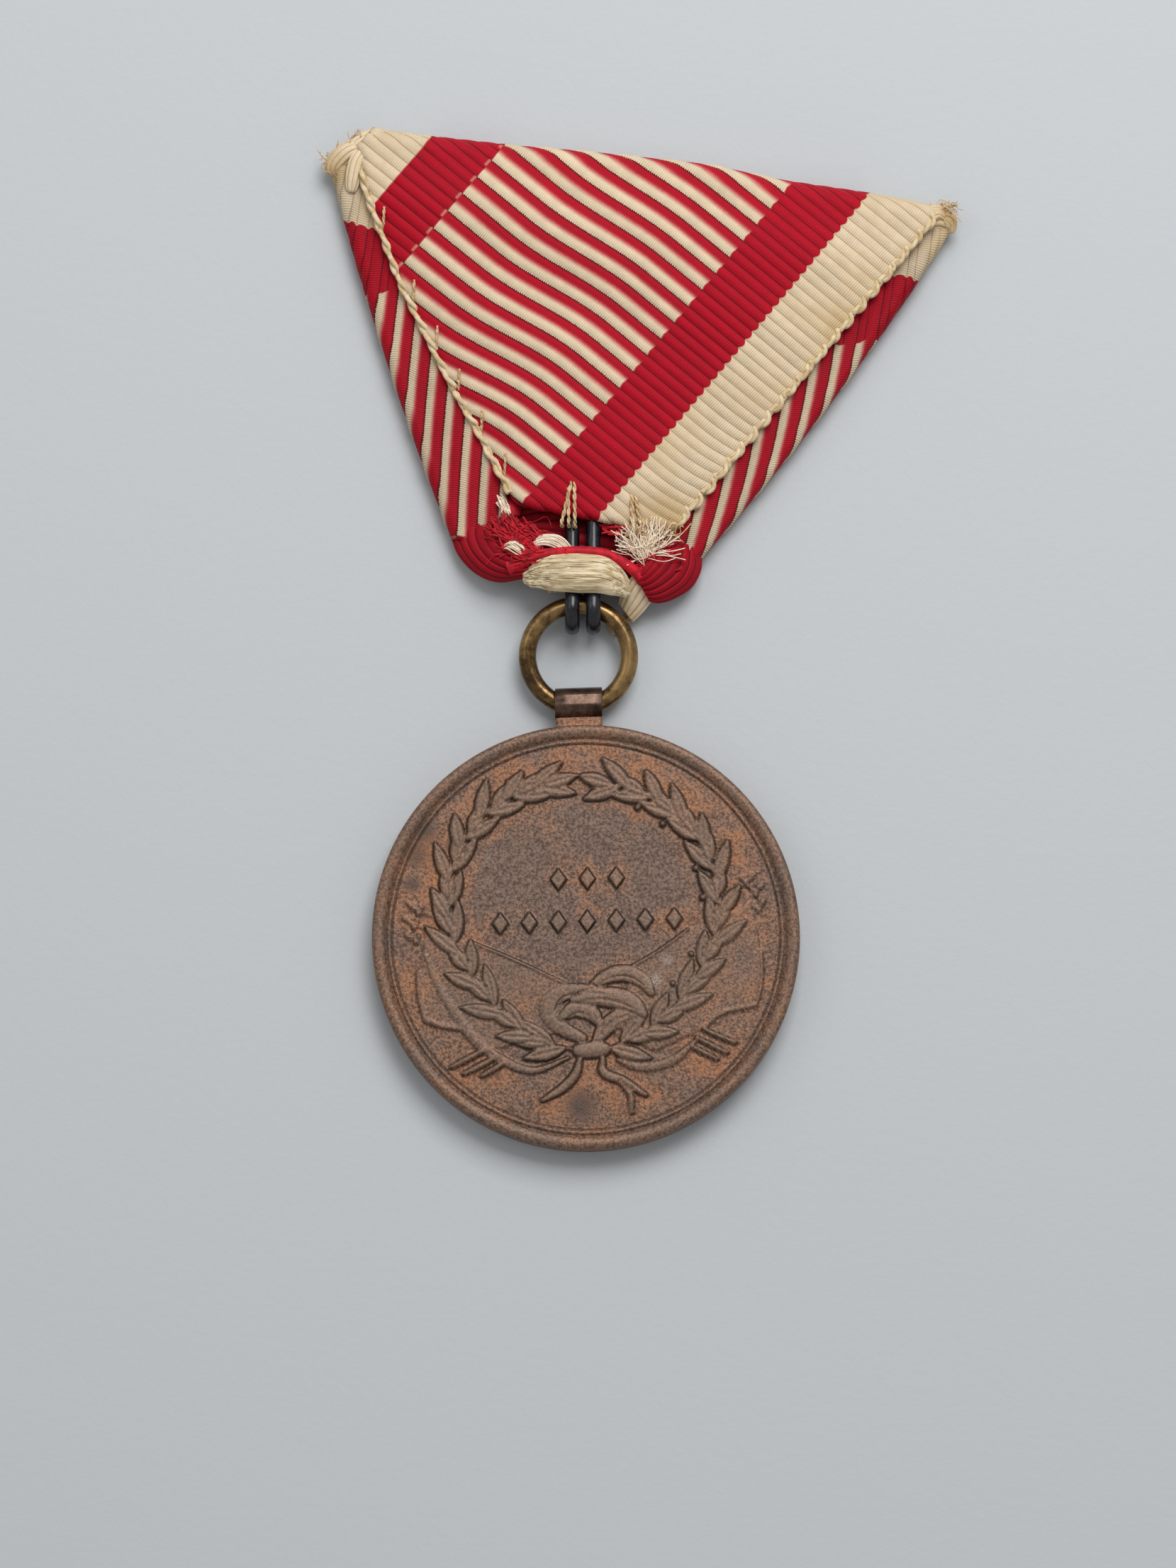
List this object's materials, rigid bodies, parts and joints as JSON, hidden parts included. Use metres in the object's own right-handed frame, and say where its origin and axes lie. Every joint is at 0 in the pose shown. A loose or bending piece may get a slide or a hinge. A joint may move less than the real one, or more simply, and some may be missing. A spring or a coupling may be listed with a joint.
{
  "type": "medal on folded ribbon",
  "caption": "Round struck bronze medal hanging by a ring and a wire hook from a striped ribbon folded into a triangle and sewn at the back, lying face down.",
  "frame": {"origin": "centre of the disc's flat underside", "axes": "+Y from the disc towards the ribbon, +Z out of the back of the medal and ribbon, +X to the right seen from the back"},
  "size_m": [0.0462, 0.0751, 0.0047],
  "materials": {
    "bronze": "satin",
    "strip_bronze": "satin",
    "ring_brass": "satin",
    "black_wire": "gloss",
    "striped_ribbon": "matte",
    "red_ribbon": "matte",
    "cream_ribbon": "matte",
    "sewing_thread": "matte"
  },
  "bodies": {
    "ribbon": {"wire_hook": "black_wire", "ribbon_front_panel": "striped_ribbon", "ribbon_left_flap": "striped_ribbon", "ribbon_right_flap": "striped_ribbon", "ribbon_back_panel": "striped_ribbon", "ribbon_left_gather": "red_ribbon", "ribbon_right_gather": "red_ribbon", "ribbon_selvedge_bunch": "cream_ribbon", "ribbon_end_tuck": "cream_ribbon", "ribbon_left_corner": "cream_ribbon", "ribbon_right_corner": "cream_ribbon", "frayed_yarn_left": "red_ribbon", "frayed_yarn_right": "cream_ribbon", "lash_left": "sewing_thread", "lash_right": "sewing_thread", "edge_seam": "sewing_thread", "edge_stitch_1": "sewing_thread", "edge_stitch_2": "sewing_thread", "edge_stitch_3": "sewing_thread", "edge_stitch_4": "sewing_thread", "edge_stitch_5": "sewing_thread", "edge_stitch_6": "sewing_thread"},
    "ring": {"suspension_ring": "ring_brass"},
    "medal": {"medal_disc": "bronze", "suspension_loop": "strip_bronze"}
  },
  "joints": [
    {"name": "ring_swing", "type": "hinge", "parent": "ribbon", "child": "ring", "pos_m": [-0.00055, 0.02436, 0.00187], "axis": [1, 0, 0], "range_deg": [-85, 15]},
    {"name": "medal_swing", "type": "hinge", "parent": "ring", "child": "medal", "pos_m": [-0.00054, 0.01714, 0.00125], "axis": [0.9995, 0.0314, 0], "range_deg": [-95, 95]}
  ]
}
